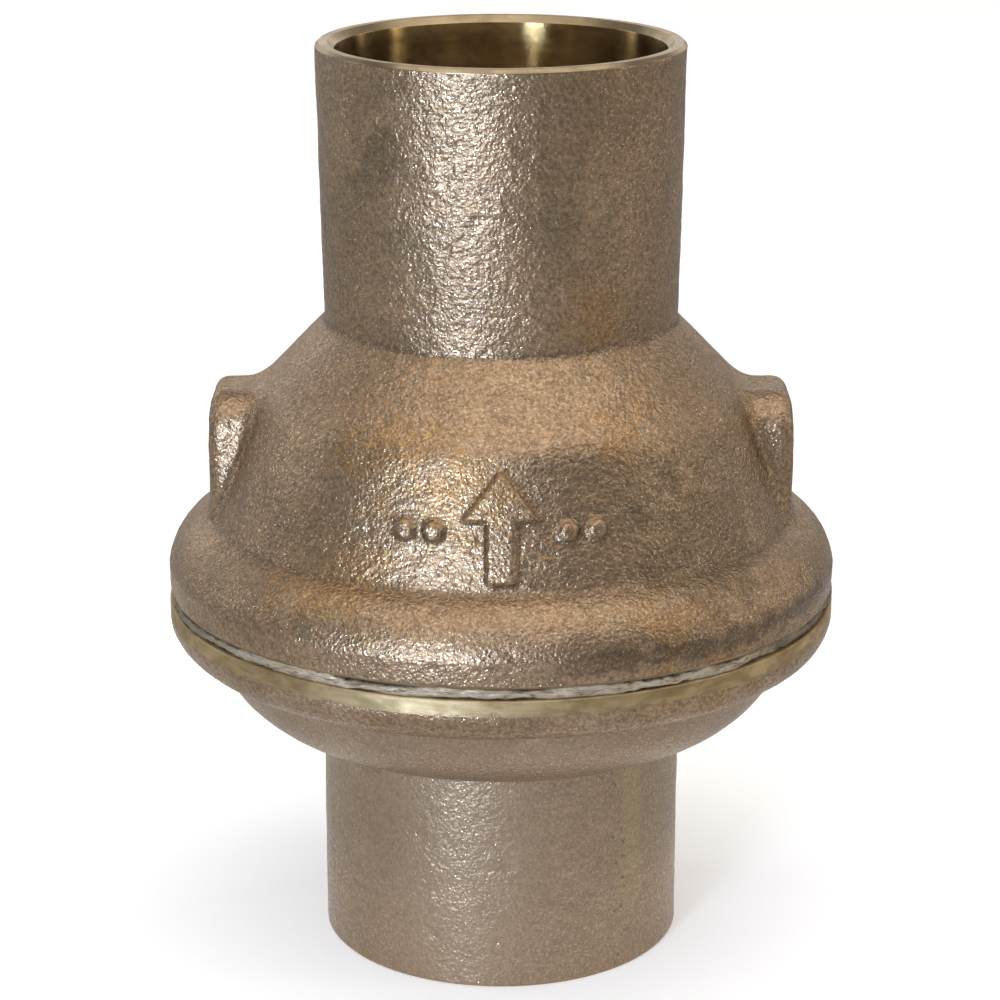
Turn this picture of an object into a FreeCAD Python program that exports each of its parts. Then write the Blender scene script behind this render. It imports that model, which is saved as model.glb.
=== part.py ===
"""Bronze in-line spring check valve with solder cup ends, flow upward along +Z.

Millimetres. The origin is the centre of the inlet rim, +Z is the flow direction and the two
wrench lugs lie on the X axis. Every size is a cell of the sheet "sizes", and the pieces are
bound to those cells by expressions.
"""
import FreeCAD, Part

import math
import os
import re

import Sketcher

DRIVING_DIMENSIONS = {
    # both solder cups and the outside of the upper casting
    "overall_height": 117.8,
    "cup_radius": 20.7,
    "cup_depth": 27.7,
    "cup_edge": 0.85,
    "outlet_rim_radius": 23.1,
    "rim_edge": 0.4,
    "neck_base_radius": 22.45,
    "neck_base_height": 82.9,
    "neck_fillet": 1.2,
    "bell_top_radius": 31.3,
    "bell_top_height": 73.7,
    "bell_round": 9.0,
    "bell_foot_radius": 37.2,
    "bell_foot_height": 57.6,
    "crease_fillet": 1.0,
    "flange_radius": 43.0,
    "shoulder_edge_height": 51.3,
    "shoulder_round": 8.2,
    "skirt_height": 48.0,
    "lip_width": 0.6,
    "lip_height": 0.8,
    # inside of the upper casting
    "thread_radius": 38.3,
    "thread_gap": 0.1,
    "chamber_radius": 34.1,
    "chamber_wall_height": 56.6,
    "chamber_neck_radius": 27.9,
    "chamber_neck_height": 72.2,
    "guide_bore_radius": 18.8,
    "guide_bore_foot": 80.0,
    "guide_shoulder_height": 86.5,
    "throat_radius": 17.6,
    "groove_depth": 1.0,
    "groove_width": 1.2,
    # wrench lugs and raised casting marks
    "lug_reach": 37.3,
    "lug_root": 30.0,
    "lug_width": 16.0,
    "lug_top_height": 73.9,
    "lug_foot_height": 55.0,
    "lug_round": 1.6,
    "lug_shoulder_round": 5.0,
    "mark_relief": 0.8,
    "mark_foot_height": 58.9,
    "arrow_height": 12.6,
    "arrow_head_height": 5.6,
    "arrow_half_width": 4.6,
    "arrow_shaft_half_width": 1.7,
    "dot_radius": 1.1,
    "dot_height": 64.6,
    "dot_offset": 8.0,
    "dot_pitch": 3.4,
    # lower casting
    "inlet_rim_radius": 23.3,
    "land_height": 46.6,
    "band_width": 2.0,
    "underlip_round": 4.08,
    "dome_crease_radius": 37.45,
    "dome_crease_height": 40.8,
    "dome_round": 13.4,
    "inlet_neck_height": 29.9,
    "spigot_height": 53.2,
    "spigot_edge": 0.5,
    "bowl_round": 9.8,
    "bowl_height": 43.3,
    "boss_radius": 24.3,
    "boss_height": 41.0,
    "pocket_floor_height": 33.5,
    "inlet_throat_radius": 18.3,
    # seat ring and its lower guide
    "seat_thread_radius": 20.2,
    "seat_ledge_height": 33.0,
    "seat_height": 43.0,
    "port_radius": 17.6,
    "seat_flange_radius": 22.6,
    "seat_flange_thickness": 1.2,
    "lip_inner_radius": 18.3,
    "lip_outer_radius": 19.4,
    # guides
    "hub_radius": 6.4,
    "bush_radius": 4.6,
    "bush_flange_radius": 6.0,
    "bush_flange_thickness": 0.8,
    "arm_thickness": 2.6,
    "arm_height": 4.4,
    "lower_hub_foot": 31.2,
    "lower_hub_top": 38.2,
    "lower_arm_foot": 33.4,
    "guide_ring_height": 4.0,
    "guide_ring_width": 2.3,
    "guide_hub_foot": 65.5,
    "guide_hub_top": 87.6,
    # moving poppet
    "stem_radius": 3.175,
    "running_gap": 0.06,
    "stem_foot": 28.6,
    "stem_top": 89.6,
    "stem_edge": 0.5,
    "collar_radius": 6.5,
    "collar_thickness": 1.8,
    "disc_washer_radius": 14.5,
    "disc_washer_thickness": 1.6,
    "disc_thickness": 4.0,
    "disc_radius": 21.8,
    "holder_radius": 23.6,
    "holder_web": 3.0,
    "holder_rim_foot": 43.8,
    "holder_crown_radius": 13.0,
    "holder_crown_drop": 2.0,
    "boss_rise": 1.0,
    "holder_boss_radius": 7.0,
    "lock_washer_radius": 5.6,
    "lock_washer_thickness": 1.2,
    "lock_washer_split": 1.0,
    "nut_circumradius": 6.35,
    "nut_thickness": 4.2,
    "nut_edge": 0.6,
    "fit_gap": 0.1,
    # spring, thrust washer, seals and clips
    "spring_mean_radius": 8.8,
    "wire_radius": 0.8,
    "spring_turns": 7.0,
    "thrust_washer_radius": 10.6,
    "thrust_washer_thickness": 0.8,
    "bead_inner_radius": 40.6,
    "bead_outer_radius": 42.6,
    "bead_gap": 0.05,
    "clip_width": 2.2,
    "clip_gap_half_angle": 16.0,
    "clip_ear_radius": 2.0,
    "clip_hole_radius": 0.75,
    "rest_gap": 0.05,
}

SPIDER_ARMS = 3
FIRST_ARM_ANGLE = 90.0

doc = FreeCAD.newDocument("CheckValve")
sheet = doc.addObject("Spreadsheet::Sheet", "sizes")
pieces = []


def fill_sheet():
    """One row per driving dimension: its name, and its value under an alias of the same name."""
    for row, (alias, value) in enumerate(DRIVING_DIMENSIONS.items(), start=1):
        sheet.set(f"A{row}", alias)
        sheet.set(f"B{row}", str(value))
        sheet.setAlias(f"B{row}", alias)
    doc.recompute()


def bound(expression):
    """The expression with every name in it read from the sheet."""
    return re.sub(r"[a-z_]{3,}", lambda word: "sizes." + word.group(), expression)


def value(expression):
    """What an expression of the sheet's names comes to, as a number."""
    return float(sheet.evalExpression(bound(expression)))


def bind(thing, **properties):
    """Binds each property to an expression; a double underscore in a name stands for a dot."""
    for name, expression in properties.items():
        thing.setExpression(name.replace("__", "."), bound(expression))


def keep(thing, label):
    """Makes a thing one of the valve's pieces, under the name of its file."""
    thing.Label = label
    pieces.append(thing)
    return thing


def origin_plane(body, role):
    """The body's own origin plane with this role."""
    return next(feature for feature in body.Origin.OriginFeatures if feature.Role == role)


def arc_between(start, end, radius, turns_left):
    """The shorter arc from start to end, stored backwards where it turns right."""
    chord = end - start
    half = chord.Length / 2
    side = FreeCAD.Vector(-chord.y, chord.x, 0).normalize()
    reach = math.sqrt(max(radius * radius - half * half, 0.0))
    centre = (start + end) * 0.5 + side * (reach if turns_left else -reach)
    first, last = (start, end) if turns_left else (end, start)
    angles = [math.atan2(point.y - centre.y, point.x - centre.x) for point in (first, last)]
    return Part.ArcOfCircle(Part.Circle(centre, FreeCAD.Vector(0, 0, 1), radius), *angles)


def pin_to_origin(sketch, edge, position, across, up):
    """Holds one end of an edge at its two distances from the origin."""
    for kind, axis, expression in (("DistanceX", -2, across), ("DistanceY", -1, up)):
        distance = value(expression)
        if abs(distance) < 1e-9:
            sketch.addConstraint(Sketcher.Constraint("PointOnObject", edge, position, axis))
            continue
        number = sketch.addConstraint(Sketcher.Constraint(kind, -1, 1, edge, position, distance))
        sketch.setExpression(f"Constraints[{number}]", bound(expression))


def closed_sketch(body, name, corners, plane="XZ_Plane"):
    """A closed outline of (across, up) corners, with (radius, turns left) added where an arc follows."""
    sketch = body.newObject("Sketcher::SketchObject", name)
    sketch.AttachmentSupport = [(origin_plane(body, plane), "")]
    sketch.MapMode = "FlatFace"
    points = [FreeCAD.Vector(value(corner[0]), value(corner[1]), 0) for corner in corners]
    starts = []
    for index, corner in enumerate(corners):
        start = points[index]
        end = points[(index + 1) % len(points)]
        if len(corner) == 2:
            sketch.addGeometry(Part.LineSegment(start, end), False)
            starts.append(1)
            continue
        sketch.addGeometry(arc_between(start, end, value(corner[2]), corner[3]), False)
        starts.append(1 if corner[3] else 2)
        number = sketch.addConstraint(Sketcher.Constraint("Radius", index, value(corner[2])))
        sketch.setExpression(f"Constraints[{number}]", bound(corner[2]))
    for index, corner in enumerate(corners):
        following = (index + 1) % len(corners)
        meeting = (index, 3 - starts[index], following, starts[following])
        sketch.addConstraint(Sketcher.Constraint("Coincident", *meeting))
        pin_to_origin(sketch, index, starts[index], corner[0], corner[1])
    return sketch


def revolve(body, name, corners):
    """A full turn of an outline about Z."""
    sketch = closed_sketch(body, name + "_outline", corners)
    feature = body.newObject("PartDesign::Revolution", name)
    feature.Profile = sketch
    feature.ReferenceAxis = (sketch, ["V_Axis"])
    feature.Angle = 360.0
    doc.recompute()
    return feature


def turned(label, corners):
    """A piece that is one outline turned about Z."""
    body = doc.addObject("PartDesign::Body", label + "_turning")
    revolve(body, label + "_turn", corners)
    return keep(body, label)


def ring(name, inner, outer, foot, height):
    """A plain flat ring whose four sizes are expressions."""
    outside = doc.addObject("Part::Cylinder", name + "_outside")
    bind(outside, Radius=outer, Height=height)
    inside = doc.addObject("Part::Cylinder", name + "_inside")
    bind(inside, Radius=inner, Height=f"{height} + 2")
    bind(inside, Placement__Base__z="-1")
    plain = doc.addObject("Part::Cut", name + "_ring")
    plain.Base = outside
    plain.Tool = inside
    bind(plain, Placement__Base__z=foot)
    return plain


def joined(name, *things):
    """Several overlapping things as one solid."""
    whole = doc.addObject("Part::MultiFuse", name)
    whole.Shapes = list(things)
    whole.Refine = True
    return whole


def without(name, base, tool):
    """The base with the tool cut out of it."""
    rest = doc.addObject("Part::Cut", name)
    rest.Base = base
    rest.Tool = tool
    rest.Refine = True
    return rest


def fillet_circles(body, name, radius, *circles):
    """Rounds the body's circular edges at the given (radius, height) places."""
    doc.recompute()
    base = body.Tip
    wanted = [(value(across), value(up)) for across, up in circles]
    names = []
    for number, edge in enumerate(base.Shape.Edges, start=1):
        if not isinstance(edge.Curve, Part.Circle):
            continue
        place = (edge.Curve.Radius, edge.Curve.Center.z)
        if any(math.dist(place, spot) < 0.02 for spot in wanted):
            names.append(f"Edge{number}")
    if len(names) < len(wanted):
        raise ValueError(f"{name}: found {len(names)} of {len(wanted)} edges")
    feature = body.newObject("PartDesign::Fillet", name)
    feature.Base = (base, names)
    bind(feature, Radius=radius)
    doc.recompute()
    return feature


def casting_outside():
    """Upper casting as a full solid: skirt, rounded shoulder, bell and outlet neck."""
    body = doc.addObject("PartDesign::Body", "upper_casting_body")
    revolve(body, "upper_casting", [
        ("0", "skirt_height"),
        ("flange_radius - lip_width", "skirt_height"),
        ("flange_radius", "skirt_height + lip_height"),
        ("flange_radius", "shoulder_edge_height", "shoulder_round", True),
        ("bell_foot_radius", "bell_foot_height"),
        ("bell_top_radius", "bell_top_height"),
        ("neck_base_radius", "neck_base_height"),
        ("outlet_rim_radius", "overall_height - rim_edge"),
        ("outlet_rim_radius - rim_edge", "overall_height"),
        ("0", "overall_height"),
    ])
    fillet_circles(body, "bell_rounding", "bell_round", ("bell_top_radius", "bell_top_height"))
    fillet_circles(body, "neck_rounding", "neck_fillet", ("neck_base_radius", "neck_base_height"))
    fillet_circles(body, "crease_rounding", "crease_fillet", ("bell_foot_radius", "bell_foot_height"))
    return body


def wrench_lug(side):
    """One cast wrench lug, with its outer and top edges rounded; side is +1 or -1 along X."""
    block = doc.addObject("Part::Box", "lug_block")
    bind(block, Length="lug_reach - lug_root", Width="lug_width")
    bind(block, Height="lug_top_height - lug_foot_height")
    doc.recompute()
    edges = enumerate(block.Shape.Edges, start=1)
    outside = [(number, edge) for number, edge in edges if on_outside(edge, block.Shape)]
    lug = doc.addObject("Part::Fillet", "wrench_lug")
    lug.Base = block
    lug.Edges = [(number, *lug_radii(edge)) for number, edge in outside]
    lug.Placement.Rotation = FreeCAD.Rotation(FreeCAD.Vector(0, 0, 1), 0 if side > 0 else 180)
    bind(lug, Placement__Base__x=f"{side} * lug_root")
    bind(lug, Placement__Base__y=f"{-side} * lug_width / 2")
    bind(lug, Placement__Base__z="lug_foot_height")
    return lug


def lug_radii(edge):
    """The fillet's radius at both ends of an edge; the two edges along X have the large one."""
    along = edge.BoundBox.XLength > edge.Length / 2
    radius = value("lug_shoulder_round" if along else "lug_round")
    return radius, radius


def on_outside(edge, block):
    """True for the upright edges of the block's far X face and the edges of its top, but for its root."""
    middle = edge.CenterOfMass
    far = block.BoundBox.XMax - middle.x < 0.01
    top = block.BoundBox.ZMax - middle.z < 0.01
    low = middle.z - block.BoundBox.ZMin < 0.01
    near = middle.x - block.BoundBox.XMin < 0.01
    return (far and not low) or (top and not near)


def casting_inside():
    """Everything bored and cored out of the upper casting, from the skirt's thread to the outlet cup."""
    body = doc.addObject("PartDesign::Body", "upper_cavity_body")
    revolve(body, "upper_cavity", [
        ("0", "skirt_height - 1"),
        ("thread_radius + thread_gap", "skirt_height - 1"),
        ("thread_radius + thread_gap", "spigot_height + lip_height"),
        ("chamber_radius", "spigot_height + lip_height"),
        ("chamber_radius", "chamber_wall_height"),
        ("chamber_neck_radius", "chamber_neck_height"),
        ("guide_bore_radius", "guide_bore_foot"),
        ("guide_bore_radius", "guide_shoulder_height - guide_ring_height - groove_width"),
        ("guide_bore_radius + groove_depth", "guide_shoulder_height - guide_ring_height - groove_width"),
        ("guide_bore_radius + groove_depth", "guide_shoulder_height - guide_ring_height"),
        ("guide_bore_radius", "guide_shoulder_height - guide_ring_height"),
        ("guide_bore_radius", "guide_shoulder_height"),
        ("throat_radius", "guide_shoulder_height"),
        ("throat_radius", "overall_height - cup_depth"),
        ("cup_radius", "overall_height - cup_depth"),
        ("cup_radius", "overall_height - cup_edge"),
        ("cup_radius + cup_edge * 2", "overall_height + cup_edge"),
        ("0", "overall_height + cup_edge"),
    ])
    return body


def relief_band():
    """The bell's wall made thicker by the height of the raised marks."""
    body = doc.addObject("PartDesign::Body", "relief_band")
    revolve(body, "relief_turn", [
        ("bell_foot_radius - 2 * mark_relief", "bell_foot_height"),
        ("bell_foot_radius + mark_relief", "bell_foot_height"),
        ("bell_top_radius + mark_relief", "bell_top_height"),
        ("bell_top_radius - 2 * mark_relief", "bell_top_height"),
    ])
    return body


def arrow_prism():
    """The flow arrow, which points up, as a prism through the front wall."""
    body = doc.addObject("PartDesign::Body", "arrow_prism")
    neck = "mark_foot_height + arrow_height - arrow_head_height"
    sketch = closed_sketch(body, "arrow_outline", [
        ("-arrow_shaft_half_width", "mark_foot_height"),
        ("arrow_shaft_half_width", "mark_foot_height"),
        ("arrow_shaft_half_width", neck),
        ("arrow_half_width", neck),
        ("0", "mark_foot_height + arrow_height"),
        ("-arrow_half_width", neck),
        ("-arrow_shaft_half_width", neck),
    ])
    prism = body.newObject("PartDesign::Pad", "arrow_pad")
    prism.Profile = sketch
    bind(prism, Length="flange_radius")
    doc.recompute()
    if body.Shape.BoundBox.YMin > -1:
        prism.Reversed = True
        doc.recompute()
    return body


def dot_prism(side, step):
    """A round pin through the front wall, one of the row of dots on each side of the arrow."""
    dot = doc.addObject("Part::Cylinder", "dot")
    dot.Placement.Rotation = FreeCAD.Rotation(FreeCAD.Vector(1, 0, 0), 90)
    bind(dot, Radius="dot_radius", Height="flange_radius")
    bind(dot, Placement__Base__x=f"{side} * (dot_offset + {step} * dot_pitch)")
    bind(dot, Placement__Base__z="dot_height")
    return dot


def raised_marks():
    """Flow arrow and dots, standing off the bell by the relief."""
    dots = [dot_prism(side, step) for side in (-1, 1) for step in (0, 1)]
    prisms = joined("mark_prisms", arrow_prism(), *dots)
    marks = doc.addObject("Part::Common", "raised_marks")
    marks.Base = relief_band()
    marks.Tool = prisms
    return marks


def upper_casting():
    """Valve body: one bronze casting with the outlet cup, bell, wrench lugs and threaded skirt."""
    lugs = [wrench_lug(1), wrench_lug(-1)]
    solid = joined("upper_casting_solid", casting_outside(), *lugs, raised_marks())
    keep(without("upper_casting_bored", solid, casting_inside()), "body")


def lower_casting():
    """Inlet end: inlet cup, domed underside, flange with its turned band, and the threaded spigot."""
    body = doc.addObject("PartDesign::Body", "lower_casting_body")
    revolve(body, "lower_casting", [
        ("cup_radius + cup_edge", "0"),
        ("inlet_rim_radius - rim_edge", "0"),
        ("inlet_rim_radius", "rim_edge"),
        ("inlet_rim_radius", "inlet_neck_height", "dome_round", True),
        ("dome_crease_radius", "dome_crease_height", "underlip_round", True),
        ("flange_radius", "land_height - band_width"),
        ("flange_radius", "land_height - rim_edge / 2"),
        ("flange_radius - rim_edge / 2", "land_height"),
        ("thread_radius - thread_gap", "land_height"),
        ("thread_radius - thread_gap", "spigot_height - spigot_edge"),
        ("thread_radius - thread_gap - spigot_edge", "spigot_height"),
        ("chamber_radius", "spigot_height"),
        ("chamber_radius", "bowl_height", "bowl_round", False),
        ("boss_radius", "pocket_floor_height"),
        ("boss_radius", "boss_height"),
        ("seat_thread_radius", "boss_height"),
        ("seat_thread_radius", "seat_ledge_height"),
        ("inlet_throat_radius", "seat_ledge_height"),
        ("inlet_throat_radius", "cup_depth"),
        ("cup_radius", "cup_depth"),
        ("cup_radius", "cup_edge"),
    ])
    crease = ("dome_crease_radius", "dome_crease_height")
    fillet_circles(body, "dome_crease_rounding", "crease_fillet", crease)
    keep(body, "inlet_end")


def spider_arms(name, reach, foot, height):
    """Flat arms from the axis out to a ring, evenly spaced."""
    arms = []
    for number in range(SPIDER_ARMS):
        arm = doc.addObject("Part::Box", f"{name}_arm")
        angle = FIRST_ARM_ANGLE + number * 360 / SPIDER_ARMS
        arm.Placement.Rotation = FreeCAD.Rotation(FreeCAD.Vector(0, 0, 1), angle)
        bind(arm, Length=reach, Width="arm_thickness", Height=height)
        turn = math.radians(angle)
        bind(
            arm,
            Placement__Base__x=f"arm_thickness / 2 * {math.sin(turn):.6f}",
            Placement__Base__y=f"-arm_thickness / 2 * {math.cos(turn):.6f}",
            Placement__Base__z=foot,
        )
        arms.append(arm)
    return arms


def spider(name, rim, hub, arms):
    """A ring, a hub and the arms between them as one casting, bored for its bush."""
    bore = doc.addObject("Part::Cylinder", name + "_bore")
    bind(bore, Radius="bush_radius", Height="overall_height")
    return without(name + "_casting", joined(name + "_solid", rim, hub, *arms), bore)


def seat_ring():
    """Screwed-in seat ring with its raised lip, and the lower guide hub on three arms."""
    rim = doc.addObject("PartDesign::Body", "seat_rim")
    revolve(rim, "seat_rim_turn", [
        ("port_radius", "seat_ledge_height + rest_gap"),
        ("seat_thread_radius - thread_gap", "seat_ledge_height + rest_gap"),
        ("seat_thread_radius - thread_gap", "boss_height"),
        ("seat_flange_radius", "boss_height"),
        ("seat_flange_radius", "boss_height + seat_flange_thickness"),
        ("lip_outer_radius + 1", "boss_height + seat_flange_thickness"),
        ("lip_outer_radius", "seat_height"),
        ("lip_inner_radius", "seat_height"),
        ("port_radius", "seat_height - 1"),
    ])
    hub = doc.addObject("Part::Cylinder", "seat_hub")
    bind(hub, Radius="hub_radius", Height="lower_hub_top - lower_hub_foot")
    bind(hub, Placement__Base__z="lower_hub_foot")
    arms = spider_arms("seat", "(port_radius + seat_thread_radius) / 2", "lower_arm_foot", "arm_height")
    keep(spider("seat_ring", rim, hub, arms), "seat_ring")


def stem_guide():
    """Upper guide: a ring against the throat's shoulder, three arms and a long hub inside the spring."""
    foot = "guide_shoulder_height - guide_ring_height"
    outer = "guide_bore_radius - fit_gap / 2"
    rim = ring("guide", f"{outer} - guide_ring_width", outer, foot, "guide_ring_height")
    hub = doc.addObject("Part::Cylinder", "guide_hub")
    bind(hub, Radius="hub_radius", Height="guide_hub_top - guide_hub_foot")
    bind(hub, Placement__Base__z="guide_hub_foot")
    arms = spider_arms("guide", f"{outer} - guide_ring_width / 2", foot, "guide_ring_height")
    keep(spider("stem_guide", rim, hub, arms), "stem_guide")


def guide_bushes():
    """A flanged bush in each hub; both flanges sit on top of their hubs."""
    for label, foot, top in (
        ("lower_bush", "lower_hub_foot", "lower_hub_top"),
        ("upper_bush", "guide_hub_foot", "guide_hub_top"),
    ):
        turned(label, [
            ("stem_radius + running_gap", foot),
            ("bush_radius", foot),
            ("bush_radius", top),
            ("bush_flange_radius", top),
            ("bush_flange_radius", f"{top} + bush_flange_thickness"),
            ("stem_radius + running_gap", f"{top} + bush_flange_thickness"),
        ])


def stem():
    """Turned stem with the collar that carries the disc from below."""
    collar_top = "seat_height - disc_washer_thickness"
    turned("stem", [
        ("0", "stem_foot"),
        ("stem_radius - stem_edge", "stem_foot"),
        ("stem_radius", "stem_foot + stem_edge"),
        ("stem_radius", f"{collar_top} - collar_thickness"),
        ("collar_radius", f"{collar_top} - collar_thickness"),
        ("collar_radius", collar_top),
        ("stem_radius", collar_top),
        ("stem_radius", "stem_top - stem_edge"),
        ("stem_radius - stem_edge", "stem_top"),
        ("0", "stem_top"),
    ])


def disc_stack():
    """Washer, soft disc and the holder that grips it, stacked on the stem's collar."""
    bore = "stem_radius + fit_gap"
    web_foot = "seat_height + disc_thickness"
    web_top = f"{web_foot} + holder_web"
    keep(ring("disc_washer", bore, "disc_washer_radius", "seat_height - disc_washer_thickness",
              "disc_washer_thickness"), "disc_washer")
    keep(ring("seat_disc", bore, "disc_radius", "seat_height", "disc_thickness"), "seat_disc")
    turned("disc_holder", [
        (bore, web_foot),
        ("disc_radius + fit_gap", web_foot),
        ("disc_radius + fit_gap", "holder_rim_foot"),
        ("holder_radius", "holder_rim_foot"),
        ("holder_radius", f"{web_top} - holder_crown_drop"),
        ("holder_crown_radius", web_top),
        ("holder_boss_radius", web_top),
        ("holder_boss_radius", f"{web_top} + boss_rise"),
        (bore, f"{web_top} + boss_rise"),
    ])


def lock_washer(foot):
    """Split spring washer under the nut."""
    plain = ring("lock_washer", "stem_radius + fit_gap", "lock_washer_radius", foot, "lock_washer_thickness")
    split = doc.addObject("Part::Box", "lock_washer_split_cut")
    split.Placement.Rotation = FreeCAD.Rotation(FreeCAD.Vector(0, 1, 0), -30)
    bind(split, Length="lock_washer_split", Width="lock_washer_radius * 2")
    bind(split, Height="lock_washer_thickness * 3")
    bind(split, Placement__Base__z=f"{foot} - lock_washer_thickness")
    keep(without("lock_washer_cut", plain, split), "lock_washer")


def disc_nut(foot):
    """Hexagon nut with both faces chamfered."""
    hexagon = doc.addObject("Part::Prism", "nut_hexagon")
    hexagon.Polygon = 6
    bind(hexagon, Circumradius="nut_circumradius", Height="nut_thickness")
    bind(hexagon, Placement__Base__z=foot)
    barrel = doc.addObject("PartDesign::Body", "nut_barrel")
    revolve(barrel, "nut_barrel_turn", [
        ("stem_radius + fit_gap / 2", foot),
        ("nut_circumradius - nut_edge", foot),
        ("nut_circumradius", f"{foot} + nut_edge / 2"),
        ("nut_circumradius", f"{foot} + nut_thickness - nut_edge / 2"),
        ("nut_circumradius - nut_edge", f"{foot} + nut_thickness"),
        ("stem_radius + fit_gap / 2", f"{foot} + nut_thickness"),
    ])
    nut = doc.addObject("Part::Common", "nut_blank")
    nut.Base = hexagon
    nut.Tool = barrel
    keep(nut, "disc_nut")


def poppet_fasteners():
    """What holds the disc holder down on the stem's collar."""
    boss_top = "seat_height + disc_thickness + holder_web + boss_rise"
    lock_washer(boss_top)
    disc_nut(f"{boss_top} + lock_washer_thickness")


def spring():
    """Compression spring between the thrust washer and the guide's arms, its ends left plain."""
    foot = "seat_height + disc_thickness + holder_web + thrust_washer_thickness"
    rise = f"guide_shoulder_height - guide_ring_height - ({foot}) - 2 * wire_radius"
    path = doc.addObject("Part::Helix", "spring_path")
    bind(path, Radius="spring_mean_radius", Height=rise, Pitch=f"({rise}) / spring_turns")
    wire = doc.addObject("Part::Circle", "spring_wire")
    wire.Placement.Rotation = FreeCAD.Rotation(FreeCAD.Vector(1, 0, 0), 90)
    bind(wire, Radius="wire_radius", Placement__Base__x="spring_mean_radius")
    coil = doc.addObject("Part::Sweep", "spring_coil")
    coil.Sections = [wire]
    coil.Spine = (path, [])
    coil.Solid = True
    coil.Frenet = True
    bind(coil, Placement__Base__z=f"{foot} + wire_radius")
    keep(coil, "spring")


def retaining_clip():
    """Internal clip in the body's groove, open at the back, with a plier hole in each ear."""
    thickness = "groove_width - 2 * rest_gap"
    foot = "guide_shoulder_height - guide_ring_height - groove_width + rest_gap"
    outer = "guide_bore_radius + groove_depth - fit_gap"
    plain = ring("clip", f"{outer} - clip_width", outer, foot, thickness)
    gap = doc.addObject("Part::Cylinder", "clip_opening")
    bind(gap, Radius="flange_radius", Height="flange_radius", Angle="2 * clip_gap_half_angle")
    first = 90 - value("clip_gap_half_angle")
    gap.Placement.Rotation = FreeCAD.Rotation(FreeCAD.Vector(0, 0, 1), first)
    bind(gap, Placement__Base__z="lug_foot_height")
    solids = [without("clip_open", plain, gap)]
    holes = []
    for side in (-1, 1):
        turn = math.radians(90 + side * (value("clip_gap_half_angle") + 3))
        reach = value(f"{outer} - clip_width")
        centre = FreeCAD.Vector(reach * math.cos(turn), reach * math.sin(turn), 0)
        ear = doc.addObject("Part::Cylinder", "clip_ear")
        ear.Placement.Base = centre
        bind(ear, Radius="clip_ear_radius", Height=thickness, Placement__Base__z=foot)
        solids.append(ear)
        hole = doc.addObject("Part::Cylinder", "clip_hole")
        hole.Placement.Base = centre
        bind(hole, Radius="clip_hole_radius", Height="flange_radius")
        bind(hole, Placement__Base__z="lug_foot_height")
        holes.append(hole)
    blank = joined("clip_with_ears", *solids)
    keep(without("clip_drilled", blank, joined("clip_holes", *holes)), "retaining_clip")


def washers_and_seals():
    """The spring's thrust washer, the body gasket and the bead of sealant in the seam."""
    web_top = "seat_height + disc_thickness + holder_web"
    keep(ring("thrust_washer", "holder_boss_radius + fit_gap", "thrust_washer_radius", web_top,
              "thrust_washer_thickness"), "thrust_washer")
    keep(ring("body_gasket", "chamber_radius", "thread_radius - thread_gap - spigot_edge", "spigot_height",
              "lip_height"), "body_gasket")
    keep(ring("seam_bead", "bead_inner_radius", "bead_outer_radius", "land_height + bead_gap",
              "skirt_height - land_height - 2 * bead_gap"), "seam_bead")


def check_document():
    """Stops on any object that failed, and on any piece without one sound solid."""
    for thing in doc.Objects:
        if "Invalid" in thing.State or "Error" in thing.State:
            raise ValueError(f"{thing.Label} did not recompute: {thing.State}")
    for piece in pieces:
        shape = piece.Shape
        if shape.isNull() or not shape.isValid() or len(shape.Solids) != 1:
            raise ValueError(f"{piece.Label} is not one sound solid")


def write_pieces():
    """One STEP file per piece."""
    os.makedirs("parts", exist_ok=True)
    for piece in pieces:
        piece.Shape.exportStep(f"parts/{piece.Label}.step")
        box = piece.Shape.BoundBox
        print(f"{piece.Label:16s} volume {piece.Shape.Volume:10.1f}", end="")
        print(f"  z {box.ZMin:7.2f} to {box.ZMax:7.2f}  r {box.XMax:6.2f}")


fill_sheet()
upper_casting()
lower_casting()
seat_ring()
stem_guide()
guide_bushes()
stem()
disc_stack()
poppet_fasteners()
spring()
retaining_clip()
washers_and_seals()
doc.recompute()
check_document()
write_pieces()
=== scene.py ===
import itertools
import math

import bpy
import numpy as np
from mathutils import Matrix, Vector

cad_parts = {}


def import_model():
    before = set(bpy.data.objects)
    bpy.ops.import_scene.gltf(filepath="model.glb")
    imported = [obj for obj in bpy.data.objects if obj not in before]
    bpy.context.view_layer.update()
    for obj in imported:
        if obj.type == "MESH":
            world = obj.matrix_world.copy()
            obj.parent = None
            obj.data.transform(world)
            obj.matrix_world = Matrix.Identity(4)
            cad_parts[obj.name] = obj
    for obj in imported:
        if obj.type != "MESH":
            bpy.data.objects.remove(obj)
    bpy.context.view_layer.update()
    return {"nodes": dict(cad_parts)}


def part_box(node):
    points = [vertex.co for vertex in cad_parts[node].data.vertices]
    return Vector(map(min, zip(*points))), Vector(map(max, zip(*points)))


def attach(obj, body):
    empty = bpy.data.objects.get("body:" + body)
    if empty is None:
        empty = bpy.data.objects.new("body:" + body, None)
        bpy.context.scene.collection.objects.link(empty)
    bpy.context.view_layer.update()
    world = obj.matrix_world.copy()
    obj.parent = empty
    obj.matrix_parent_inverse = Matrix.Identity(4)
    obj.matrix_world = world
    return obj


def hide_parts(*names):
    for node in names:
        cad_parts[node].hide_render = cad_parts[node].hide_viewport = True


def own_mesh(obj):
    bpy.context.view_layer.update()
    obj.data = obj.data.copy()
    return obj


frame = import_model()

MM = 0.001
COLUMNS = 720  # vertices round the axis in each casting
CAST, TURNED, BORE = 0, 1, 2  # material indices of the two castings


def node_box(node):
    """Lowest and highest corners of a CAD node, in millimetres."""
    return [[round(value / MM, 2) for value in corner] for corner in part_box(node)]


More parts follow.
